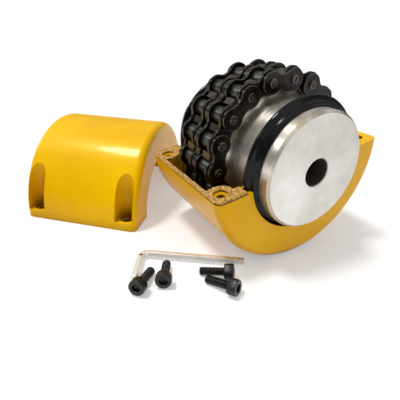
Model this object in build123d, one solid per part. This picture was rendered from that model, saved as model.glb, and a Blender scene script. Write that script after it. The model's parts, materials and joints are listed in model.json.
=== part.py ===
from build123d import *
from math import atan, cos, degrees, radians, sin, tan
import os

# Roller chain shaft coupling, opened for fitting: two sprocket hubs joined by a duplex roller chain lie
# in the lower half of their casing, and the upper half, four screws and a hex key lie beside them.
# All sizes are millimetres. The coupling frame has X along the shafts and Z square to the casing's
# parting plane, with its origin at the coupling's centre.

# ---- Chain: duplex, 19.05 pitch -------------------------------------------------------------------
PITCH = 19.05
TEETH = 18
TRANSVERSE_PITCH = 22.78       # between the centres of the two strands
INNER_WIDTH = 12.57            # between the inner plates of one strand
PLATE_THICKNESS = 2.42
INNER_PLATE_HEIGHT = 18.0
INNER_WAIST_HEIGHT = 11.6
OUTER_PLATE_HEIGHT = 15.8
OUTER_WAIST_HEIGHT = 9.8
PLATE_EDGE = 0.3               # bevel round a plate's outline
ROLLER_RADIUS = 11.91 / 2
ROLLER_BORE_RADIUS = 4.25
BUSH_RADIUS = 4.17
BUSH_BORE_RADIUS = 3.03
PIN_RADIUS = 5.96 / 2
PIN_STANDOUT = 1.3             # riveted end beyond the outer plate
PIN_DIMPLE_RADIUS = 1.3
PIN_DIMPLE_DEPTH = 0.5
FIT = 0.02                     # radial clearance of the pressed fits
SIDE_PLAY = 0.1                # between neighbouring plates
FIRST_PIN_ANGLE = 175.07       # about X, from +Y of the coupling frame
CONNECTING_LINK = 8            # which outer link opens the chain

# ---- Connecting link's spring clip ----------------------------------------------------------------
CLIP_THICKNESS = 1.2
CLIP_WIDTH = 10.4
CLIP_SLOT_RADIUS = 2.27
CLIP_CLOSED_END = 4.8          # beyond the pin at the closed end
CLIP_OPEN_END = 3.4            # beyond the pin at the open end
GROOVE_RADIUS = 2.2
GROOVE_WIDTH = 1.34
CONNECTING_PIN_STANDOUT = 2.7

# ---- Sprocket hubs --------------------------------------------------------------------------------
HUB_RADIUS = 42.5
HUB_END = 61.75                # from the coupling's centre to the hub's outer face
HUB_GAP = 11.5                 # between the two hubs
TOOTH_WIDTH = 11.28
TOOTH_TIP_RADIUS = 58.6
TOOTH_BEVEL = 1.4
TOOTH_BEVEL_RADIUS = 55.0
SEAT_RADIUS = 6.12
SEAT_PLAY = 1.2                # degrees that a tooth gap leaves each side of its roller
GAP_HALF_WIDTH = 7.9           # of a tooth gap, at the tooth tips
BORE_RADIUS = 10.0
HUB_CHAMFER = 1.8
DISC_RADIUS = 48.0             # of the solid disc inside the tooth roots
SPROCKET_FILLET = 5.0          # between the disc and the hub's round
BORE_CHAMFER = 0.8

# ---- Casing ---------------------------------------------------------------------------------------
CASING_RADIUS = 74.5
CASING_WIDTH = 104.0
CAVITY_RADIUS = 70.3
CAVITY_HALF_LENGTH = 40.9
OPENING_RADIUS = 46.5
SHOULDER_ROUND = 6.0
CAVITY_ROUND = 4.0
GROOVE_INNER = 43.0            # seal groove, from the coupling's centre
GROOVE_OUTER = 48.9
SEAL_GROOVE_RADIUS = 50.1
SCREW_X = 41.0
SCREW_Y = 65.1
BOSS_RADIUS = 10.4
TAPPED_BOSS_HEIGHT = 24.0
POCKET_RADIUS = 7.7
LEDGE_HEIGHT = 8.5             # of a screw pocket's floor above the parting plane
COUNTERBORE_RADIUS = 6.4
SEAT_HEIGHT = 5.5              # of the screw head's seat above the parting plane
CLEARANCE_HOLE_RADIUS = 3.5
TAPPED_HOLE_RADIUS = 2.75
TAPPED_HOLE_DEPTH = 16.0
COUNTERSINK_RADIUS = 3.75
COUNTERSINK_DEPTH = 1.2

# ---- Gaskets and seals ----------------------------------------------------------------------------
GASKET_THICKNESS = 2.0
GASKET_HOLE_RADIUS = 4.5
GASKET_GROOVE_GAP = 0.3        # between the gasket's end and the seal groove
SEAL_INNER_RADIUS = 42.8
SEAL_RADIUS = 49.6
BEAD_START = 43.4
BEAD_WIDTH = 5.1
BEAD_BASE_RADIUS = 43.6
BEAD_ROUND = 2.5
COLLAR_START = 43.9
COLLAR_RADIUS = 46.0
LIP_END = 52.9
LIP_RADIUS = 43.6
LIP_SHOULDER = 1.8             # length of the slope behind the lip

# ---- Screws and hex key ---------------------------------------------------------------------------
SCREW_RADIUS = 3.2
SCREW_LENGTH = 18.0
HEAD_RADIUS = 5.8
HEAD_HEIGHT = 6.7
HEAD_ROUND = 0.6
TIP_CHAMFER = 0.7
SOCKET_WIDTH = 5.6             # across flats
SOCKET_DEPTH = 3.0
KEY_WIDTH = 5.5
KEY_BEND_RADIUS = 6.5

# ---- How the pieces lie on the table, from the point below the coupling's centre ------------------
ROLL = 10.76                   # the lower half's parting plane, leaning back about X
UPPER_PLACE = (-120.5, -88.8)
UPPER_YAW = 48.15
KEY_LONG_END = (46.7, -41.5)
KEY_CORNER = (2.1, -106.5)
KEY_SHORT_END = (27.0, -121.7)
# Middle of each screw's length, and the direction from its head to its tip.
SCREW_PLACES = (
    (32.9, -116.4, 133.6),
    (32.7, -100.5, 149.9),
    (48.8, -67.3, 230.4),
    (61.2, -70.8, 208.8),
)

# ---- Worked out from the sizes above --------------------------------------------------------------
STEP_ANGLE = 360 / TEETH
PITCH_RADIUS = PITCH / 2 / sin(radians(STEP_ANGLE / 2))
LINK_RADIUS = PITCH / 2 / tan(radians(STEP_ANGLE / 2))
STRAND = TRANSVERSE_PITCH / 2
INNER_PLATE_NEAR = STRAND - INNER_WIDTH / 2 - PLATE_THICKNESS
INNER_PLATE_FAR = STRAND + INNER_WIDTH / 2
MIDDLE_PLATE = INNER_PLATE_NEAR - SIDE_PLAY - PLATE_THICKNESS
OUTER_PLATE = INNER_PLATE_FAR + PLATE_THICKNESS + SIDE_PLAY
OUTER_FACE = OUTER_PLATE + PLATE_THICKNESS
LINK_COUNT = TEETH // 2
GASKET_INNER = SEAL_GROOVE_RADIUS + GASKET_GROOVE_GAP
PARTING_GAP = GASKET_THICKNESS / 2  # from the shafts' axis to either half's rim
ON_FLOOR = (Align.CENTER, Align.CENTER, Align.MIN)


def tube(start, end, outer, inner):
    """A tube along X from start to end."""
    ring = Circle(outer) - Circle(inner)
    return extrude(Plane.YZ.offset(start) * ring, amount=end - start)


def pin_spot(angle):
    """The place of a pin on the pitch circle."""
    return Pos(0, PITCH_RADIUS * cos(radians(angle)), PITCH_RADIUS * sin(radians(angle)))


def link_plane(angle, x):
    """A plane across X at the middle of a link, with its own x axis along the link."""
    turn = radians(angle)
    middle = (x, LINK_RADIUS * cos(turn), LINK_RADIUS * sin(turn))
    return Plane(origin=middle, x_dir=(0, -sin(turn), cos(turn)), z_dir=(1, 0, 0))


def link_plate(height, waist_height, hole_radius):
    """A waisted chain plate lying on XY, with its two holes a pitch apart along X."""
    half = PITCH / 2
    end = height / 2
    waist = waist_height / 2
    hollow = (half**2 + waist**2 - end**2) / (2 * (end - waist))
    body = Rectangle(PITCH, 2 * end * (waist + hollow) / (end + hollow))
    for side in (-1, 1):
        body -= Pos(0, side * (waist + hollow)) * Circle(hollow)
    for side in (-1, 1):
        body += Pos(side * half, 0) * Circle(end)
    for side in (-1, 1):
        body -= Pos(side * half, 0) * Circle(hole_radius)
    plate = extrude(body, amount=PLATE_THICKNESS)
    outline = [
        edge
        for edge in plate.faces().sort_by(Axis.Z)[0].outer_wire().edges()
        + plate.faces().sort_by(Axis.Z)[-1].outer_wire().edges()
    ]
    return chamfer(outline, PLATE_EDGE)


def placed_plates(plate, angle, starts):
    """Copies of a plate at one link, each with its near face at one of the starts along X."""
    return [link_plane(angle, start).location * plate for start in starts]


def riveted_pin():
    """A pin through both strands, with a bevel and a dimple at each riveted end."""
    reach = OUTER_FACE + PIN_STANDOUT
    pin = extrude(Plane.YZ.offset(-reach) * Circle(PIN_RADIUS), amount=2 * reach)
    pin = chamfer(pin.edges(), PLATE_EDGE)
    dimple = Cone(PIN_DIMPLE_RADIUS, 0, PIN_DIMPLE_DEPTH, rotation=(0, 90, 0))
    pin -= Pos(-reach + PIN_DIMPLE_DEPTH / 2, 0, 0) * dimple
    pin -= Pos(reach - PIN_DIMPLE_DEPTH / 2, 0, 0) * Rot(0, 0, 180) * dimple
    return pin


def grooved_pin():
    """A connecting link's pin: riveted behind, grooved for the spring clip in front."""
    back = -OUTER_FACE - PIN_STANDOUT
    front = OUTER_FACE + CONNECTING_PIN_STANDOUT
    pin = extrude(Plane.YZ.offset(back) * Circle(PIN_RADIUS), amount=front - back)
    pin = chamfer(pin.edges(), PLATE_EDGE)
    groove_start = OUTER_FACE + SIDE_PLAY / 2
    return pin - tube(groove_start, groove_start + GROOVE_WIDTH, PIN_RADIUS + 1, GROOVE_RADIUS)


def spring_clip(angle):
    """The flat clip that slides along the connecting link into both pins' grooves."""
    closed = PITCH / 2 + CLIP_CLOSED_END
    opened = PITCH / 2 + CLIP_OPEN_END
    outline = RectangleRounded(closed + opened, CLIP_WIDTH, CLIP_WIDTH / 2 - FIT)
    outline = Pos((opened - closed) / 2, 0) * outline
    slot = Pos(-PITCH / 2, 0) * Circle(CLIP_SLOT_RADIUS)
    slot += Pos(opened - PITCH / 2, 0) * Rectangle(2 * opened, 2 * CLIP_SLOT_RADIUS)
    clip = extrude(outline - slot, amount=CLIP_THICKNESS)
    return link_plane(angle, OUTER_FACE + SIDE_PLAY).location * clip


def tooth_gap(angle):
    """The space between two teeth, open outwards, around the roller at one pin."""
    swing = PITCH_RADIUS * sin(radians(SEAT_PLAY))
    reach = TOOTH_TIP_RADIUS + 1 - PITCH_RADIUS
    mouth = [
        (-swing, -SEAT_RADIUS),
        (swing, -SEAT_RADIUS),
        (swing + SEAT_RADIUS, 0),
        (GAP_HALF_WIDTH, reach),
        (-GAP_HALF_WIDTH, reach),
        (-swing - SEAT_RADIUS, 0),
    ]
    gap = make_face(Polyline(*mouth, close=True))
    for side in (-swing, swing):
        gap += Pos(side, 0) * Circle(SEAT_RADIUS)
    turn = radians(angle)
    spot = Pos(PITCH_RADIUS * cos(turn), PITCH_RADIUS * sin(turn))
    return spot * Rot(0, 0, angle - 90) * gap


def hub():
    """A hub with its sprocket, on the +X side of the coupling."""
    start = HUB_GAP / 2
    wheel = Circle(TOOTH_TIP_RADIUS)
    for pin in range(TEETH):
        wheel -= tooth_gap(FIRST_PIN_ANGLE - pin * STEP_ANGLE)
    sprocket = extrude(Plane.YZ.offset(start) * wheel, amount=TOOTH_WIDTH)
    end = start + TOOTH_WIDTH
    rim = [
        (start, 0),
        (start, TOOTH_BEVEL_RADIUS),
        (start + TOOTH_BEVEL, TOOTH_TIP_RADIUS + 1),
        (end - TOOTH_BEVEL, TOOTH_TIP_RADIUS + 1),
        (end, TOOTH_BEVEL_RADIUS),
        (end, 0),
    ]
    sprocket &= revolve(make_face(Polyline(*rim, close=True)), Axis.X)
    profile = [
        (start, BORE_RADIUS + BORE_CHAMFER),
        (start, DISC_RADIUS),
        (end, DISC_RADIUS),
        (end, HUB_RADIUS),
        (HUB_END - HUB_CHAMFER, HUB_RADIUS),
        (HUB_END, HUB_RADIUS - HUB_CHAMFER),
        (HUB_END, BORE_RADIUS + BORE_CHAMFER),
        (HUB_END - BORE_CHAMFER, BORE_RADIUS),
        (start + BORE_CHAMFER, BORE_RADIUS),
    ]
    section = make_face(Polyline(*profile, close=True))
    inside_corner = section.vertices().sort_by_distance((end, HUB_RADIUS, 0))[0]
    boss = revolve(fillet(inside_corner, SPROCKET_FILLET), Axis.X)
    bore = extrude(Plane.YZ * Circle(HUB_RADIUS), amount=HUB_END)
    return sprocket - bore + boss


def seal():
    """The rubber ring that fills the casing's groove round the front hub."""
    bead_height = SEAL_RADIUS - BEAD_BASE_RADIUS
    bead = Pos(BEAD_START + BEAD_WIDTH / 2, BEAD_BASE_RADIUS + bead_height / 2)
    section = bead * RectangleRounded(BEAD_WIDTH, bead_height, BEAD_ROUND)
    collar = [
        (COLLAR_START, SEAL_INNER_RADIUS),
        (LIP_END, SEAL_INNER_RADIUS),
        (LIP_END, LIP_RADIUS),
        (LIP_END - LIP_SHOULDER, COLLAR_RADIUS - FIT),
        (COLLAR_START, COLLAR_RADIUS),
    ]
    section += make_face(Polyline(*collar, close=True))
    return revolve(section, Axis.X)


def casing_profile(solid_inside):
    """Half section of the casing along X, with the radius along Y."""
    depth = CASING_RADIUS if solid_inside else CASING_RADIUS - OPENING_RADIUS
    outer = Pos(0, CASING_RADIUS - depth / 2) * Rectangle(CASING_WIDTH, depth)
    outer = fillet(outer.vertices().group_by(Axis.Y)[-1], SHOULDER_ROUND)
    if solid_inside:
        return outer
    cavity = Pos(0, CAVITY_RADIUS / 2) * Rectangle(2 * CAVITY_HALF_LENGTH, CAVITY_RADIUS)
    cavity = fillet(cavity.vertices().group_by(Axis.Y)[-1], CAVITY_ROUND)
    groove_width = GROOVE_OUTER - GROOVE_INNER
    groove = Rectangle(groove_width, 2 * SEAL_GROOVE_RADIUS)
    outer -= cavity
    for side in (-1, 1):
        outer -= Pos(side * (GROOVE_INNER + groove_width / 2), 0) * groove
    return outer


def screw_pocket():
    """The space over one screw: an upright slot open to -Y, a counterbore and a clearance hole."""
    slot = Cylinder(POCKET_RADIUS, CASING_RADIUS, align=ON_FLOOR)
    slot += Box(2 * POCKET_RADIUS, CASING_RADIUS, CASING_RADIUS, align=(Align.CENTER, Align.MAX, Align.MIN))
    space = Pos(0, 0, LEDGE_HEIGHT) * slot
    space += Pos(0, 0, SEAT_HEIGHT) * Cylinder(COUNTERBORE_RADIUS, CASING_RADIUS, align=ON_FLOOR)
    return space + Cylinder(CLEARANCE_HOLE_RADIUS, 2 * SEAT_HEIGHT)


def casing_half():
    """One half of the casing, above the gaskets, with its screw pockets on the -Y side."""
    shell = revolve(casing_profile(False), Axis.X, revolution_arc=180)
    drum = revolve(casing_profile(True), Axis.X, revolution_arc=180)
    bosses = []
    cuts = []
    for x in (-SCREW_X, SCREW_X):
        pocket_boss = Cylinder(BOSS_RADIUS, CASING_RADIUS, align=ON_FLOOR)
        tapped_boss = Cylinder(BOSS_RADIUS, TAPPED_BOSS_HEIGHT, align=ON_FLOOR)
        bosses.append(Pos(x, -SCREW_Y, 0) * pocket_boss)
        bosses.append(Pos(x, SCREW_Y, 0) * tapped_boss)
        tapped = Cylinder(TAPPED_HOLE_RADIUS, 2 * TAPPED_HOLE_DEPTH)
        mouth = Cone(COUNTERSINK_RADIUS, TAPPED_HOLE_RADIUS, COUNTERSINK_DEPTH, align=ON_FLOOR)
        cuts += [
            Pos(x, -SCREW_Y, 0) * screw_pocket(),
            Pos(x, SCREW_Y, 0) * tapped,
            Pos(x, SCREW_Y, PARTING_GAP) * mouth,
        ]
    for boss in bosses:
        shell += boss & drum
    for cut in cuts:
        shell -= cut
    return shell - Box(CASING_WIDTH, 2 * CASING_RADIUS, 2 * PARTING_GAP)


def gasket():
    """The flat gasket between the halves' rims, on the -Y side."""
    width = CASING_RADIUS - GASKET_INNER
    outer = Pos(0, -CASING_RADIUS + width / 2) * Rectangle(CASING_WIDTH, width)
    outer = fillet(outer.vertices().group_by(Axis.Y)[0], SHOULDER_ROUND)
    cavity = Pos(0, -CAVITY_RADIUS / 2) * Rectangle(2 * CAVITY_HALF_LENGTH, CAVITY_RADIUS)
    cavity = fillet(cavity.vertices().group_by(Axis.Y)[0], CAVITY_ROUND)
    rim = outer - cavity
    for side in (-1, 1):
        rim += (Pos(side * SCREW_X, -SCREW_Y) * Circle(BOSS_RADIUS)) & outer
    for side in (-1, 1):
        rim -= Pos(side * SCREW_X, -SCREW_Y) * Circle(GASKET_HOLE_RADIUS)
    return Pos(0, 0, -PARTING_GAP) * extrude(rim, amount=GASKET_THICKNESS)


def screw():
    """A socket head screw along X, from its head's face at the origin to its tip."""
    head = extrude(Plane.YZ * Circle(HEAD_RADIUS), amount=HEAD_HEIGHT)
    head = fillet(head.edges().sort_by(Axis.X)[0], HEAD_ROUND)
    shank = extrude(Plane.YZ * Circle(SCREW_RADIUS), amount=HEAD_HEIGHT + SCREW_LENGTH)
    shank = chamfer(shank.edges().sort_by(Axis.X)[-1], TIP_CHAMFER)
    hexagon = RegularPolygon(SOCKET_WIDTH / 2, 6, major_radius=False)
    socket = extrude(Plane.YZ * hexagon, amount=SOCKET_DEPTH)
    return head + shank - socket


def lying_screw(x, y, heading):
    """A screw lying on the table on its head's rim and its tip."""
    droop = atan((HEAD_RADIUS - SCREW_RADIUS) / (SCREW_LENGTH - TIP_CHAMFER))
    rise = HEAD_HEIGHT * sin(droop) + HEAD_RADIUS * cos(droop)
    back = (HEAD_HEIGHT + SCREW_LENGTH) / 2 * cos(droop)
    turn = radians(heading)
    place = Pos(x - back * cos(turn), y - back * sin(turn), rise)
    return place * Rot(0, 0, heading) * Rot(0, degrees(droop), 0) * screw()


def hex_key():
    """The L-shaped key for the casing's screws, flat on the table."""
    height = KEY_WIDTH / 2
    corners = [(x, y, height) for x, y in (KEY_LONG_END, KEY_CORNER, KEY_SHORT_END)]
    path = FilletPolyline(*corners, radius=KEY_BEND_RADIUS)
    along = path % 0
    across = Vector(0, 0, 1).cross(along)
    start = Plane(origin=path @ 0, x_dir=across, z_dir=along)
    section = start * RegularPolygon(KEY_WIDTH / 2, 6, major_radius=False)
    return sweep(section, path=path)


def chain_nodes():
    """Every piece of the chain, wrapped round both sprockets: node name to solids."""
    nodes = {}
    inner_plate = link_plate(INNER_PLATE_HEIGHT, INNER_WAIST_HEIGHT, BUSH_RADIUS + FIT)
    outer_plate = link_plate(OUTER_PLATE_HEIGHT, OUTER_WAIST_HEIGHT, PIN_RADIUS + FIT)
    roller_start = INNER_PLATE_NEAR + PLATE_THICKNESS + SIDE_PLAY
    roller = tube(roller_start, INNER_PLATE_FAR - SIDE_PLAY, ROLLER_RADIUS, ROLLER_BORE_RADIUS)
    bush = tube(INNER_PLATE_NEAR, INNER_PLATE_FAR + PLATE_THICKNESS, BUSH_RADIUS, BUSH_BORE_RADIUS)
    inner_starts = [INNER_PLATE_NEAR, INNER_PLATE_FAR]
    inner_starts += [-start - PLATE_THICKNESS for start in inner_starts]
    middle_starts = [MIDDLE_PLATE, -MIDDLE_PLATE - PLATE_THICKNESS]
    for link in range(1, LINK_COUNT + 1):
        pins = [FIRST_PIN_ANGLE - (2 * link - 2 + step) * STEP_ANGLE for step in (0, 1)]
        outer_angle = sum(pins) / 2
        inner_angle = outer_angle - STEP_ANGLE
        joints = [pins[1], pins[1] - STEP_ANGLE]
        spots = [pin_spot(angle) for angle in joints]
        nodes[f"inner_link_{link}"] = placed_plates(inner_plate, inner_angle, inner_starts)
        nodes[f"bushes_{link}"] = [spot * piece for spot in spots for piece in (bush, mirrored(bush))]
        nodes[f"rollers_{link}"] = [spot * piece for spot in spots for piece in (roller, mirrored(roller))]
        if link == CONNECTING_LINK:
            back_starts = [-OUTER_PLATE - PLATE_THICKNESS] + middle_starts
            nodes["connecting_link"] = placed_plates(outer_plate, outer_angle, back_starts)
            nodes["connecting_pins"] = [pin_spot(angle) * grooved_pin() for angle in pins]
            nodes["connecting_plate"] = placed_plates(outer_plate, outer_angle, [OUTER_PLATE])
            nodes["spring_clip"] = [spring_clip(outer_angle)]
        else:
            starts = [OUTER_PLATE, -OUTER_PLATE - PLATE_THICKNESS] + middle_starts
            nodes[f"outer_link_{link}"] = placed_plates(outer_plate, outer_angle, starts)
            nodes[f"pins_{link}"] = [pin_spot(angle) * riveted_pin() for angle in pins]
    return nodes


def mirrored(piece):
    """The same piece on the -X side."""
    return mirror(piece, about=Plane.YZ)


def coupling_nodes():
    """What lies in the lower half, in the coupling frame: node name to solids."""
    half = casing_half()
    lower = Rot(180, 0, 0) * half
    nodes = {
        "lower_casing": [lower],
        "left_gasket": [gasket()],
        "front_hub": [hub()],
        "rear_hub": [mirrored(hub())],
        "front_seal": [seal()],
        "rear_seal": [mirrored(seal())],
    }
    nodes.update(chain_nodes())
    return nodes


def table_nodes():
    """What lies beside the coupling, on the table: node name to solids."""
    tilt = degrees(atan(GASKET_THICKNESS / (CASING_RADIUS + GASKET_INNER)))
    stand = Pos(*UPPER_PLACE, 0) * Rot(0, 0, UPPER_YAW)
    stand = stand * Pos(0, -CASING_RADIUS, 0) * Rot(tilt, 0, 0) * Pos(0, CASING_RADIUS, -PARTING_GAP)
    nodes = {
        "upper_casing": [stand * casing_half()],
        "right_gasket": [stand * Rot(180, 0, 0) * gasket()],
        "hex_key": [hex_key()],
    }
    for number, place in enumerate(SCREW_PLACES, 1):
        nodes[f"cap_screw_{number}"] = [lying_screw(*place)]
    return nodes


def main():
    os.makedirs("parts", exist_ok=True)
    lie = Pos(0, 0, CASING_RADIUS) * Rot(ROLL, 0, 0)
    nodes = {name: Compound([lie * piece for piece in pieces]) for name, pieces in coupling_nodes().items()}
    nodes.update({name: Compound(pieces) for name, pieces in table_nodes().items()})
    boxes = [node.bounding_box() for node in nodes.values()]
    middle = [
        (min(getattr(box.min, axis) for box in boxes) + max(getattr(box.max, axis) for box in boxes)) / 2
        for axis in ("X", "Y")
    ]
    floor = min(box.min.Z for box in boxes)
    shift = Pos(-middle[0], -middle[1], -floor)
    print("shift", -middle[0], -middle[1], -floor)
    for name, node in nodes.items():
        export_step(shift * node, f"parts/{name}.step")


main()
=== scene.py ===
import json
import math

import bpy
import numpy as np
from mathutils import Matrix, Vector


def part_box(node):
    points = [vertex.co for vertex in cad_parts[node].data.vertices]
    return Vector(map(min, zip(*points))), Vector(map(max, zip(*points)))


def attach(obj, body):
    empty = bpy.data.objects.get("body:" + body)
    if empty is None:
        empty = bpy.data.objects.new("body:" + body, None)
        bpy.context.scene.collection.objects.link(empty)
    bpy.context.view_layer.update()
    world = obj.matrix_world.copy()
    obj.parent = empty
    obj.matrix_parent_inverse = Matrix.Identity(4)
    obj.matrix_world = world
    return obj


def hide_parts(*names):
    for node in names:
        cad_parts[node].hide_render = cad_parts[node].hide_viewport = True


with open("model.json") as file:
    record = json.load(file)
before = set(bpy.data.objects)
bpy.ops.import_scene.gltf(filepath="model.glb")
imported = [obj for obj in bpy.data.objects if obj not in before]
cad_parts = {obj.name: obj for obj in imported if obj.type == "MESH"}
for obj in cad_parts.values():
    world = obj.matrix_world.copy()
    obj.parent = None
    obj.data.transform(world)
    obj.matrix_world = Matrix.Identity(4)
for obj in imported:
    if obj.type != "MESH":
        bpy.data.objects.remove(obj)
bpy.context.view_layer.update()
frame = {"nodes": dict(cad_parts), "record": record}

# A roller chain coupling laid out for fitting. Lengths are metres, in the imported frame: X along the
# coupling's shafts towards the front hub, Z up from the table.
MM = 0.001

# ---- Where the coupling is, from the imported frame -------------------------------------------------
FRONT_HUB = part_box("front_hub")
REAR_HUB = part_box("rear_hub")
CENTRE = Vector((
    (FRONT_HUB[1].x + REAR_HUB[0].x) / 2,
    (FRONT_HUB[0].y + FRONT_HUB[1].y) / 2,
    (FRONT_HUB[0].z + FRONT_HUB[1].z) / 2,
))
SLOT_OF = {part["node"]: part["material_slot"] for part in frame["record"]["subparts"]}


# ---- Materials ------------------------------------------------------------------------------------
class Material:
    """A node material with a Principled shader, and short ways to add and link nodes."""

    def __init__(self, name):
        self.material = bpy.data.materials.new(name)
        self.material.use_nodes = True
        self.tree = self.material.node_tree
        self.shader = self.tree.nodes["Principled BSDF"]

    def node(self, kind, **settings):
        made = self.tree.nodes.new(kind)
        for key, value in settings.items():
            setattr(made, key, value)
        return made

    def plug(self, value, target):
        """Links a socket, or sets a plain number or colour."""
        if isinstance(value, bpy.types.NodeSocket):
            self.tree.links.new(value, target)
        elif isinstance(value, tuple) and len(value) == 3 and target.type == "RGBA":
            target.default_value = (*value, 1)
        else:
            target.default_value = value

    def shade(self, **values):
        """Sets or links inputs of the shader: Base_Color=..., Roughness=..."""
        for key, value in values.items():
            self.plug(value, self.shader.inputs[key.replace("_", " ")])

    def place(self, offset=(0, 0, 0), stretch=(1, 1, 1)):
        """The place on the piece from an offset point, in metres, stretched along each axis."""
        mapping = self.node("ShaderNodeMapping", vector_type="POINT")
        mapping.inputs["Location"].default_value = [-o * s for o, s in zip(offset, stretch)]
        mapping.inputs["Scale"].default_value = stretch
        self.plug(self.node("ShaderNodeTexCoord").outputs["Object"], mapping.inputs["Vector"])
        return mapping.outputs["Vector"]

    def noise(self, scale, detail=4.0, roughness=0.55, place=None):
        made = self.node("ShaderNodeTexNoise")
        made.inputs["Scale"].default_value = scale
        made.inputs["Detail"].default_value = detail
        made.inputs["Roughness"].default_value = roughness
        self.plug(place or self.place(), made.inputs["Vector"])
        return made.outputs["Fac"]

    def cells(self, scale):
        made = self.node("ShaderNodeTexVoronoi")
        made.inputs["Scale"].default_value = scale
        self.plug(self.place(), made.inputs["Vector"])
        return made.outputs["Distance"]

    def ramp(self, source, *stops):
        """A colour ramp: each stop is (position, (r, g, b))."""
        made = self.node("ShaderNodeValToRGB")
        elements = made.color_ramp.elements
        while len(elements) < len(stops):
            elements.new(0.5)
        for element, (position, colour) in zip(elements, stops):
            element.position = position
            element.color = (*colour, 1)
        self.plug(source, made.inputs["Fac"])
        return made.outputs["Color"]

    def spread(self, source, low, high, out_low, out_high):
        """Maps source from low..high to out_low..out_high, held at the ends."""
        made = self.node("ShaderNodeMapRange")
        for key, value in zip(("From Min", "From Max", "To Min", "To Max"), (low, high, out_low, out_high)):
            made.inputs[key].default_value = value
        self.plug(source, made.inputs["Value"])
        return made.outputs["Result"]

    def mix(self, amount, first, second):
        """A colour between first and second."""
        made = self.node("ShaderNodeMix", data_type="RGBA")
        colours = [socket for socket in made.inputs if socket.type == "RGBA"]
        self.plug(amount, made.inputs[0])
        self.plug(first, colours[0])
        self.plug(second, colours[1])
        return next(socket for socket in made.outputs if socket.type == "RGBA")

    def maths(self, operation, first, second=0.0):
        made = self.node("ShaderNodeMath", operation=operation)
        self.plug(first, made.inputs[0])
        self.plug(second, made.inputs[1])
        return made.outputs["Value"]

    def bump(self, height, strength, distance, normal=None):
        made = self.node("ShaderNodeBump")
        made.inputs["Strength"].default_value = strength
        made.inputs["Distance"].default_value = distance
        self.plug(height, made.inputs["Height"])
        if normal:
            self.plug(normal, made.inputs["Normal"])
        return made.outputs["Normal"]

    def rounded(self, radius):
        """Normals that roll over edges, as if they were rounded to that radius."""
        made = self.node("ShaderNodeBevel", samples=4)
        made.inputs["Radius"].default_value = radius
        return made.outputs["Normal"]

    def edge(self, radius, low=0.04, high=0.3):
        """0 on flats and 1 within that radius of an edge."""
        turned = self.node("ShaderNodeVectorMath", operation="DOT_PRODUCT")
        self.plug(self.rounded(radius), turned.inputs[0])
        self.plug(self.node("ShaderNodeNewGeometry").outputs["Normal"], turned.inputs[1])
        return self.spread(turned.outputs["Value"], 1 - low, 1 - high, 0, 1)

    def crevice(self, reach, low, high):
        """1 deep in pockets, holes and corners, 0 in the open."""
        made = self.node("ShaderNodeAmbientOcclusion", samples=6)
        made.inputs["Distance"].default_value = reach
        return self.spread(made.outputs["AO"], low, high, 1, 0)

    def facing_down(self):
        """0 where the surface faces up, 1 where it faces down."""
        parts = self.node("ShaderNodeSeparateXYZ")
        self.plug(self.node("ShaderNodeTexCoord").outputs["Normal"], parts.inputs["Vector"])
        return self.spread(parts.outputs["Z"], -1, 1, 1, 0)

    def from_axis(self):
        """Distance from the coupling's axis, in metres."""
        parts = self.node("ShaderNodeSeparateXYZ")
        self.plug(self.place(offset=CENTRE), parts.inputs["Vector"])
        flat = self.node("ShaderNodeCombineXYZ")
        self.plug(parts.outputs["Y"], flat.inputs["Y"])
        self.plug(parts.outputs["Z"], flat.inputs["Z"])
        length = self.node("ShaderNodeVectorMath", operation="LENGTH")
        self.plug(flat.outputs["Vector"], length.inputs[0])
        return length.outputs["Value"]

    def rings(self, radius, scale):
        """Uneven rings of tool marks round the axis."""
        made = self.node("ShaderNodeTexNoise", noise_dimensions="1D")
        made.inputs["Scale"].default_value = scale
        made.inputs["Detail"].default_value = 3.0
        self.plug(radius, made.inputs["W"])
        return made.outputs["Fac"]


def yellow_enamel():
    """Thick glossy paint over an uneven casting, with a little grime; painted shade makes it a deeper orange
    underneath and dark brown in pockets, holes and corners.
    """
    m = Material("yellow_enamel")
    tone = m.ramp(m.noise(11, 3), (0.35, (0.78, 0.42, 0.0)), (0.7, (0.91, 0.54, 0.0)))
    # Painted shade: the colour turns a deeper orange where the surface faces down.
    shaded = m.mix(m.spread(m.facing_down(), 0.3, 0.75, 0, 0.7), tone, (0.60, 0.25, 0.0))
    grime = m.spread(m.noise(260, 5, 0.7), 0.60, 0.74, 0, 0.3)
    dusty = m.mix(grime, shaded, (0.58, 0.26, 0.002))
    # Painted shade: dark brown deep in pockets, holes and corners, where the ambient occlusion is low.
    m.shade(Base_Color=m.mix(m.crevice(14 * MM, 0.15, 0.74), dusty, (0.10, 0.025, 0.0)))
    m.shade(Roughness=m.spread(m.noise(70, 4), 0.3, 0.7, 0.26, 0.40), Specular_IOR_Level=0.28)
    m.shade(Specular_Tint=(1.0, 0.75, 0.1), Coat_Weight=0.13, Coat_Roughness=0.10)
    cast = m.bump(m.noise(38, 3), 0.35, 0.5 * MM, m.rounded(1.0 * MM))
    m.shade(Normal=m.bump(m.noise(500, 2), 0.08, 0.1 * MM, cast))
    return m.material


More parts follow.
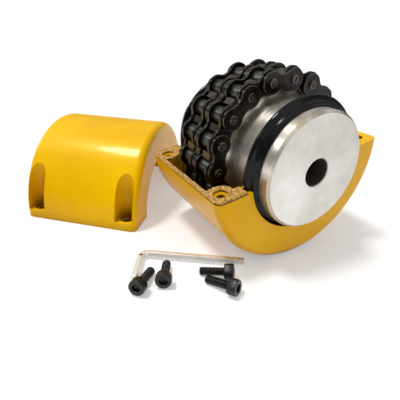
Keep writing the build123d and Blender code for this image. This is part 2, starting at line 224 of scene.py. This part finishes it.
def turned_steel():
    """Bare steel from the lathe: rings of fine grooves and oil stains, darker towards the teeth with oil and
    with painted shade under the chain.
    """
    m = Material("turned_steel")
    radius = m.from_axis()
    tone = m.ramp(m.noise(22, 5), (0.3, (0.80, 0.735, 0.63)), (0.7, (0.96, 0.93, 0.87)))
    oil = m.spread(m.noise(26, 4, 0.6), 0.46, 0.60, 0, 0.75)
    worn = m.mix(oil, tone, (0.40, 0.31, 0.20))
    # Darker towards the teeth: oil, and painted shade where the chain covers the sprocket.
    oil_and_shade_near_teeth = m.spread(radius, 43.5 * MM, 48.0 * MM, 0, 1)
    m.shade(Metallic=0.85, Base_Color=m.mix(oil_and_shade_near_teeth, worn, (0.10, 0.085, 0.07)))
    m.shade(Roughness=m.spread(m.noise(60, 4, place=m.place(stretch=(12, 1, 1))), 0.35, 0.65, 0.26, 0.36))
    tangent = m.node("ShaderNodeTangent", direction_type="RADIAL", axis="X")
    m.shade(Anisotropic=0.75, Anisotropic_Rotation=0.25, Tangent=tangent.outputs["Tangent"])
    grooves = m.noise(60, 3, place=m.place(stretch=(60, 1, 1)))
    m.shade(Normal=m.bump(grooves, 0.05, 0.03 * MM))
    return m.material


def faced_steel():
    """The hub's end face and bore: a finer, paler and more matt cut than the round, with painted shade
    darkening the bore.
    """
    m = Material("faced_steel")
    radius = m.from_axis()
    tone = m.ramp(m.noise(16, 6, 0.62), (0.34, (0.62, 0.585, 0.53)), (0.66, (0.90, 0.885, 0.85)))
    spots = m.spread(m.noise(420, 3, 0.7), 0.66, 0.76, 0, 0.5)
    # Painted shade: the bore's walls are given a near-black colour.
    painted_bore_shade = m.spread(radius, 10.0 * MM, 10.6 * MM, 1, 0)
    spotted = m.mix(spots, tone, (0.36, 0.34, 0.31))
    m.shade(Metallic=0.7, Base_Color=m.mix(painted_bore_shade, spotted, (0.13, 0.115, 0.10)))
    m.shade(Roughness=m.spread(m.noise(90, 4), 0.3, 0.7, 0.42, 0.56))
    m.shade(Normal=m.bump(m.rings(radius, 3200), 0.22, 0.02 * MM))
    return m.material


def black_rubber():
    """Moulded rubber with a smooth skin and a little dust."""
    m = Material("black_rubber")
    tone = m.ramp(m.noise(80, 4), (0.3, (0.0025, 0.0025, 0.003)), (0.7, (0.006, 0.006, 0.0065)))
    dust = m.spread(m.noise(900, 3, 0.7), 0.68, 0.80, 0, 0.25)
    m.shade(Base_Color=m.mix(dust, tone, (0.05, 0.047, 0.043)))
    m.shade(Roughness=m.spread(m.noise(140, 4), 0.3, 0.7, 0.08, 0.15), Specular_IOR_Level=0.22)
    m.shade(Normal=m.bump(m.noise(120, 3), 0.10, 0.12 * MM))
    return m.material


def oiled_steel(name, dark, light, edge_highlight_colour, rough=(0.22, 0.40), metallic=0.85):
    """Dark oiled steel whose edges are painted bright, as a painted highlight along them."""
    m = Material(name)
    tone = m.ramp(m.noise(120, 5), (0.3, dark), (0.72, light))
    # Painted highlight: the edges take a bright colour, broken up by noise.
    edge_highlight = m.maths("MULTIPLY", m.edge(0.35 * MM, 0.02, 0.16), m.spread(m.noise(200, 2), 0.35, 0.6, 0.6, 1.0))
    m.shade(Metallic=metallic, Base_Color=m.mix(edge_highlight, tone, edge_highlight_colour), Coat_Weight=0.25, Coat_Roughness=0.2)
    m.shade(Roughness=m.spread(m.noise(180, 4), 0.3, 0.7, *rough))
    m.shade(Normal=m.bump(m.noise(700, 3), 0.10, 0.05 * MM))
    return m.material


def cork():
    """Granules of cork bound in rubber."""
    m = Material("cork")
    grain = m.ramp(
        m.cells(1100),
        (0.12, (0.10, 0.035, 0.006)),
        (0.4, (0.50, 0.26, 0.045)),
        (0.75, (0.78, 0.50, 0.15)),
    )
    blotch = m.spread(m.noise(420, 4, 0.75), 0.47, 0.60, 0, 0.85)
    speckled = m.mix(blotch, grain, (0.27, 0.11, 0.012))
    # Darker along the edges, broken up by noise.
    darker_edges = m.maths("MULTIPLY", m.edge(0.7 * MM, 0.03, 0.2), m.spread(m.noise(800, 2), 0.42, 0.55, 0, 0.9))
    m.shade(Base_Color=m.mix(darker_edges, speckled, (0.055, 0.016, 0.005)))
    m.shade(Roughness=m.spread(m.noise(700, 3), 0.3, 0.7, 0.7, 0.95))
    m.shade(Normal=m.bump(m.cells(1100), 0.5, 0.25 * MM))
    return m.material


def nickel():
    """Bright nickel plate with faint scratches and tan tarnish."""
    m = Material("nickel")
    tone = m.ramp(m.noise(60, 4), (0.3, (0.84, 0.81, 0.74)), (0.7, (0.97, 0.96, 0.92)))
    tarnish = m.spread(m.noise(500, 4, 0.7), 0.62, 0.75, 0, 0.5)
    m.shade(Metallic=0.6, Base_Color=m.mix(tarnish, tone, (0.62, 0.50, 0.34)))
    m.shade(Roughness=m.spread(m.noise(250, 4), 0.3, 0.7, 0.24, 0.40))
    m.shade(Normal=m.bump(m.noise(300, 3), 0.1, 0.05 * MM))
    return m.material


MATERIALS = {
    "yellow_paint": yellow_enamel(),
    "cork_gasket": cork(),
    "turned_steel": turned_steel(),
    "seal_rubber": black_rubber(),
    # The last colour given to each oiled steel is its painted edge highlight; the pins' near-white one stands
    # for the bright rings on their riveted ends.
    "plate_steel": oiled_steel(
        "plate_steel", (0.006, 0.0045, 0.0035), (0.020, 0.015, 0.012), (0.62, 0.55, 0.48)
    ),
    "roller_steel": oiled_steel(
        "roller_steel", (0.05, 0.052, 0.045), (0.11, 0.115, 0.10), (0.3, 0.29, 0.27), rough=(0.28, 0.45)
    ),
    "bush_steel": oiled_steel("bush_steel", (0.12, 0.12, 0.12), (0.24, 0.24, 0.23), (0.5, 0.5, 0.5)),
    "pin_steel": oiled_steel(
        "pin_steel", (0.025, 0.019, 0.016), (0.07, 0.057, 0.05), (1.0, 0.97, 0.92), rough=(0.18, 0.34)
    ),
    "clip_steel": oiled_steel("clip_steel", (0.16, 0.155, 0.15), (0.32, 0.31, 0.3), (0.6, 0.6, 0.6)),
    "black_screw_steel": oiled_steel(
        "black_oxide", (0.003, 0.003, 0.0035), (0.009, 0.009, 0.010), (0.06, 0.06, 0.065),
        rough=(0.26, 0.42), metallic=0.3
    ),
    "bright_key_steel": nickel(),
}
FACED_STEEL = faced_steel()


def paint(piece, *materials):
    """Gives a piece these materials, in slot order."""
    piece.data.materials.clear()
    for material in materials:
        piece.data.materials.append(material)


for name, node in frame["nodes"].items():
    paint(node, MATERIALS[SLOT_OF[name]])

# The hubs' end faces and bores are cut finer than their rounds.
FACED_RADIUS = 41.0 * MM       # the edge of the flat face
FACE_DISTANCE = 61.0 * MM      # from the coupling's centre
BORE_REACH = 10.5 * MM         # just outside the bore
for name in ("front_hub", "rear_hub"):
    hub = frame["nodes"][name]
    paint(hub, MATERIALS["turned_steel"], FACED_STEEL)
    for face in hub.data.polygons:
        reach = math.hypot(face.center.y - CENTRE.y, face.center.z - CENTRE.z)
        outside = abs(face.center.x - CENTRE.x) > FACE_DISTANCE
        if reach < FACED_RADIUS and (outside or reach < BORE_REACH):
            face.material_index = 1


# ---- Mesh helpers ---------------------------------------------------------------------------------
def piece_from(name, vertices, faces, slot, body, replaced):
    """A smooth-shaded mesh that rides on a body and stands for one CAD node."""
    mesh = bpy.data.meshes.new(name)
    mesh.from_pydata([tuple(v) for v in vertices], [], faces)
    mesh.polygons.foreach_set("use_smooth", [True] * len(mesh.polygons))
    mesh.update()
    made = bpy.data.objects.new(name, mesh)
    bpy.context.scene.collection.objects.link(made)
    paint(made, MATERIALS[slot])
    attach(made, body)
    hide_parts(replaced)
    return made


def ring_stack(rings, count, closed_ends=True):
    """Faces that join rings of count vertices each, with a fan of one centre vertex at each end."""
    faces = []
    for ring in range(rings - 1):
        for step in range(count):
            after = (step + 1) % count
            a = ring * count + step
            b = ring * count + after
            faces.append((a, b, b + count, a + count))
    if closed_ends:
        first_centre = rings * count
        last_centre = first_centre + 1
        last = (rings - 1) * count
        for step in range(count):
            after = (step + 1) % count
            faces.append((first_centre, after, step))
            faces.append((last_centre, last + step, last + after))
    return faces


# ---- Seals: a rubber ring with a round bead, a waist and a thin front lip -------------------------
SEAL_STEPS = 192
SEAL_PROFILE_STEPS = 6         # points on each stretch between two outline points


def smooth_closed(points, steps):
    """A closed Catmull-Rom curve through the points."""
    ring = np.array(points, float)
    count = len(ring)
    curve = []
    for i in range(count):
        p0, p1, p2, p3 = (ring[(i + k) % count] for k in (-1, 0, 1, 2))
        for t in np.linspace(0, 1, steps, endpoint=False):
            curve.append(0.5 * (2 * p1 + (p2 - p0) * t + (2 * p0 - 5 * p1 + 4 * p2 - p3) * t**2
                                + (3 * p1 - p0 - 3 * p2 + p3) * t**3))
    return np.array(curve)


# The section of a seal: (distance back from the lip, distance in from the bead's crest), in millimetres.
SEAL_OUTLINE = [
    (0.15, 6.7), (0.05, 6.2), (0.5, 5.75), (1.3, 5.1), (2.3, 3.9),
    (3.6, 3.6), (4.5, 2.3), (5.4, 0.55), (7.0, 0.02), (8.5, 0.8),
    (9.4, 2.6), (9.35, 4.4), (8.9, 6.3), (8.3, 6.75), (4.0, 6.75),
]


def seal_ring(node, side):
    """Turns the seal's section round the coupling's axis; side is 1 at the front and -1 at the rear."""
    low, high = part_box(node)
    outer = (high.z - low.z) / 2
    far = (high.x - CENTRE.x) if side > 0 else (CENTRE.x - low.x)
    section = [(far - back * MM, outer - inward * MM) for back, inward in SEAL_OUTLINE]
    profile = smooth_closed(section, SEAL_PROFILE_STEPS)
    vertices = []
    for x, r in profile:
        for turn in np.linspace(0, 2 * math.pi, SEAL_STEPS, endpoint=False):
            across = r * math.cos(turn)
            up = r * math.sin(turn)
            vertices.append((CENTRE.x + side * x, CENTRE.y + across, CENTRE.z + up))
    faces = ring_stack(len(profile), SEAL_STEPS, closed_ends=False)
    last = (len(profile) - 1) * SEAL_STEPS
    for step in range(SEAL_STEPS):
        after = (step + 1) % SEAL_STEPS
        faces.append((last + step, last + after, after, step))
    if side > 0:
        faces = [face[::-1] for face in faces]
    return piece_from(f"{node}_ring", vertices, faces, "seal_rubber", "seals", node)


seal_ring("front_seal", 1)
seal_ring("rear_seal", -1)

# ---- Cap screws: hexagon socket, knurled head and a real thread -----------------------------------
THREAD_PITCH = 1.0 * MM
THREAD_RADIUS = 3.18 * MM
THREAD_ROOT = 2.60 * MM
THREAD_FLANK = 2.6             # steepness of the thread's flanks
THREAD_FLAT = 0.15             # how much of the depth the flat at the root cuts off
THREAD_LEAD = 0.9 * MM         # length over which the thread grows from the tip
THREAD_FIRST = 0.15            # its height at the tip, as a part of the full depth
HEAD_RADIUS = 5.8 * MM
HEAD_HEIGHT = 6.7 * MM
SCREW_TOTAL = 24.7 * MM
SOCKET_HALF = 2.8 * MM
SOCKET_DEPTH = 3.0 * MM
KNURLS = 48
KNURL_DEPTH = 0.16 * MM
AROUND = KNURLS * 4
RINGS_PER_TURN = 10


def hexagon(turn, half):
    """Radius of a hexagon with that half width across flats, in the direction turn."""
    sixth = math.pi / 3
    return half / math.cos((turn % sixth) - sixth / 2)


def screw_rings():
    """The rings of a screw, from the socket's floor over the head to the tip.

    Each is (distance from the head's face, function of the direction that gives the radius).
    """
    def plain(radius):
        return lambda turn: radius

    def knurled(radius):
        return lambda turn: radius - KNURL_DEPTH * (0.5 + 0.5 * math.cos(turn * KNURLS))

    def socket(half):
        return lambda turn: hexagon(turn, half)

    def thread(x, fade):
        def radius(turn):
            phase = (x / THREAD_PITCH - turn / (2 * math.pi)) % 1.0
            flank = min(1.0, max(0.0, abs(phase - 0.5) * THREAD_FLANK - THREAD_FLAT))
            return THREAD_ROOT + (THREAD_RADIUS - THREAD_ROOT) * flank * fade
        return radius

    rings = [
        (SOCKET_DEPTH + 0.5 * MM, plain(0.6 * MM)),
        (SOCKET_DEPTH, socket(SOCKET_HALF * 0.97)),
        (SOCKET_DEPTH - 0.05 * MM, socket(SOCKET_HALF)),
        (0.3 * MM, socket(SOCKET_HALF)),
        (0.25 * MM, socket(SOCKET_HALF)),
        (0.02 * MM, plain(3.3 * MM)),
        (0.0, plain(3.4 * MM)),
        (0.0, plain(HEAD_RADIUS - 0.75 * MM)),
        (0.06 * MM, plain(HEAD_RADIUS - 0.45 * MM)),
        (0.3 * MM, plain(HEAD_RADIUS - 0.2 * MM)),
        (0.7 * MM, knurled(HEAD_RADIUS - 0.06 * MM)),
        (0.95 * MM, knurled(HEAD_RADIUS)),
        (HEAD_HEIGHT - 0.9 * MM, knurled(HEAD_RADIUS)),
        (HEAD_HEIGHT - 0.6 * MM, knurled(HEAD_RADIUS - 0.06 * MM)),
        (HEAD_HEIGHT - 0.15 * MM, plain(HEAD_RADIUS - 0.2 * MM)),
        (HEAD_HEIGHT, plain(HEAD_RADIUS - 0.4 * MM)),
        (HEAD_HEIGHT, plain(THREAD_RADIUS + 0.3 * MM)),
        (HEAD_HEIGHT + 0.25 * MM, plain(THREAD_RADIUS)),
    ]
    start = HEAD_HEIGHT + 0.5 * MM
    tip = SCREW_TOTAL - 0.05 * MM
    count = int((tip - start) / THREAD_PITCH * RINGS_PER_TURN)
    for i in range(count + 1):
        x = start + (tip - start) * i / count
        fade = min(1.0, (tip - x) / THREAD_LEAD + THREAD_FIRST)
        rings.append((x, thread(x, fade)))
    rings.append((SCREW_TOTAL, plain(THREAD_ROOT - 0.35 * MM)))
    return rings


def screw_place(node):
    """A matrix that stands a screw on the CAD screw: its own x axis from the head's face to the tip."""
    faces = frame["nodes"][node].data.polygons
    areas = np.array([face.area for face in faces])
    normals = np.array([face.normal for face in faces])
    centres = np.array([face.center for face in faces])
    # A turned piece's normals spread evenly across its axis, so the axis is the odd direction out.
    sizes, directions = np.linalg.eigh((normals * areas[:, None]).T @ normals)
    odd = np.argmax(np.abs(sizes - np.median(sizes)))
    axis = directions[:, odd]
    middle = (centres * areas[:, None]).sum(0) / areas.sum()
    points = np.array([vertex.co for vertex in frame["nodes"][node].data.vertices])
    along = (points - middle) @ axis
    off = np.linalg.norm(points - middle - np.outer(along, axis), axis=1)
    if along[np.argmax(off)] > 0:
        axis = -axis
        along = -along
    origin = Vector(middle + axis * along.min())
    axis = Vector(axis)
    across = axis.cross(Vector((0, 0, 1))).normalized()
    turn = Matrix((axis, across, axis.cross(across))).transposed().to_4x4()
    return Matrix.Translation(origin) @ turn


def cap_screw(node):
    """Stands a knurled and threaded screw where the plain CAD screw lies."""
    rings = screw_rings()
    place = screw_place(node)
    turns = [2 * math.pi * step / AROUND for step in range(AROUND)]
    vertices = [place @ Vector((x, r(t) * math.cos(t), r(t) * math.sin(t))) for x, r in rings for t in turns]
    vertices += [place @ Vector((rings[0][0] + 0.1 * MM, 0, 0)), place @ Vector((SCREW_TOTAL, 0, 0))]
    faces = ring_stack(len(rings), AROUND)
    return piece_from(f"{node}_threaded", vertices, faces, "black_screw_steel", node, node)


for number in range(1, 5):
    cap_screw(f"cap_screw_{number}")

# ---- Rounded edges on the key, and grain on the gaskets -------------------------------------------
def soften(node, width, angle):
    """Rounds a CAD node's sharp edges, without changing its own mesh."""
    weld = frame["nodes"][node].modifiers.new("weld", "WELD")
    weld.merge_threshold = 0.002 * MM
    bevel = frame["nodes"][node].modifiers.new("bevel", "BEVEL")
    bevel.width = width
    bevel.segments = 3
    bevel.limit_method = "ANGLE"
    bevel.angle_limit = math.radians(angle)
    bevel.harden_normals = True


soften("hex_key", 0.25 * MM, 30)


GASKET_VOXEL = 0.4 * MM
CORK_GRAIN = 1.1 * MM
CORK_DEPTH = 0.55 * MM
INWARDS = 1.25                 # above 1, so no grain stands out past the gasket


def granulate(node, grain, depth):
    """Breaks up a gasket's surface and edges into grains, working inwards only."""
    texture = bpy.data.textures.new(f"{node}_grain", "CLOUDS")
    texture.noise_scale = grain
    texture.noise_depth = 2
    texture.contrast = 2.0
    remesh = frame["nodes"][node].modifiers.new("remesh", "REMESH")
    remesh.mode = "VOXEL"
    remesh.voxel_size = GASKET_VOXEL
    displace = frame["nodes"][node].modifiers.new("grain", "DISPLACE")
    displace.texture = texture
    displace.texture_coords = "GLOBAL"
    displace.strength = depth
    displace.mid_level = INWARDS


for gasket in ("left_gasket", "right_gasket"):
    granulate(gasket, CORK_GRAIN, CORK_DEPTH)

# ---- Camera, table and light ----------------------------------------------------------------------
TABLE_POINT = Vector((CENTRE.x, CENTRE.y, 0.0))
TABLE_HALF = 6.0
CAMERA_PLACE = (0.2049, -0.1766, 0.1630)     # from the table point under the coupling's centre
CAMERA_TURN = (62.0, -2.22, 60.48)           # degrees
LENS_LENGTH = 30.434                         # millimetres, on a 36 mm sensor
camera_data = bpy.data.cameras.new("camera")
camera_data.sensor_width = 36.0
camera_data.lens = LENS_LENGTH
camera_data.clip_start = 0.01
camera = bpy.data.objects.new("camera", camera_data)
camera.location = TABLE_POINT + Vector(CAMERA_PLACE)
camera.rotation_euler = [math.radians(angle) for angle in CAMERA_TURN]
bpy.context.scene.collection.objects.link(camera)
bpy.context.scene.camera = camera


def table():
    """A wide white table top, bright enough that the shadows on it stay faint."""
    corners = [(x * TABLE_HALF, y * TABLE_HALF, 0) for x, y in ((-1, -1), (1, -1), (1, 1), (-1, 1))]
    mesh = bpy.data.meshes.new("table")
    mesh.from_pydata(corners, [], [(0, 1, 2, 3)])
    made = bpy.data.objects.new("table", mesh)
    bpy.context.scene.collection.objects.link(made)
    m = Material("pale_table")
    m.shade(Base_Color=(0.62, 0.62, 0.62), Roughness=0.7)
    m.shade(Emission_Color=(1, 1, 1), Emission_Strength=0.34)
    paint(made, m.material)


def lamp(name, towards, strength, width):
    """A far softbox that lies in that direction and spans that many degrees."""
    data = bpy.data.lights.new(name, "SUN")
    data.energy = strength
    data.angle = math.radians(width)
    made = bpy.data.objects.new(name, data)
    made.rotation_euler = Vector(towards).to_track_quat("Z", "Y").to_euler()
    bpy.context.scene.collection.objects.link(made)


def studio():
    """A white room: the camera sees it plain white, and reflections see a grey gradient."""
    world = bpy.data.worlds.new("studio")
    world.use_nodes = True
    bpy.context.scene.world = world
    tree = world.node_tree
    plain = tree.nodes["Background"]
    plain.inputs["Color"].default_value = (1, 1, 1, 1)
    plain.inputs["Strength"].default_value = 1.0
    direction = tree.nodes.new("ShaderNodeTexCoord").outputs["Generated"]
    parts = tree.nodes.new("ShaderNodeSeparateXYZ")
    tree.links.new(direction, parts.inputs["Vector"])
    ramp = tree.nodes.new("ShaderNodeValToRGB")
    stops = [(0.0, 0.30), (0.15, 0.16), (0.40, 0.22), (0.62, 0.55), (1.0, 0.65)]
    while len(ramp.color_ramp.elements) < len(stops):
        ramp.color_ramp.elements.new(0.5)
    for element, (position, grey) in zip(ramp.color_ramp.elements, stops):
        element.position = position
        element.color = (grey, grey, grey, 1)
    tree.links.new(parts.outputs["Z"], ramp.inputs["Fac"])
    shaded = tree.nodes.new("ShaderNodeBackground")
    tree.links.new(ramp.outputs["Color"], shaded.inputs["Color"])
    shaded.inputs["Strength"].default_value = 1.0
    mix = tree.nodes.new("ShaderNodeMixShader")
    tree.links.new(tree.nodes.new("ShaderNodeLightPath").outputs["Is Camera Ray"], mix.inputs["Fac"])
    tree.links.new(shaded.outputs["Background"], mix.inputs[1])
    tree.links.new(plain.outputs["Background"], mix.inputs[2])
    tree.links.new(mix.outputs["Shader"], tree.nodes["World Output"].inputs["Surface"])


table()
studio()
lamp("key_light", (-0.20, -0.30, 0.93), 2.2, 12)
lamp("window", (0.85, 0.15, 0.45), 0.35, 50)
lamp("strip", (-0.72, -0.50, 0.48), 0.35, 14)
bpy.context.scene.view_settings.view_transform = "Standard"
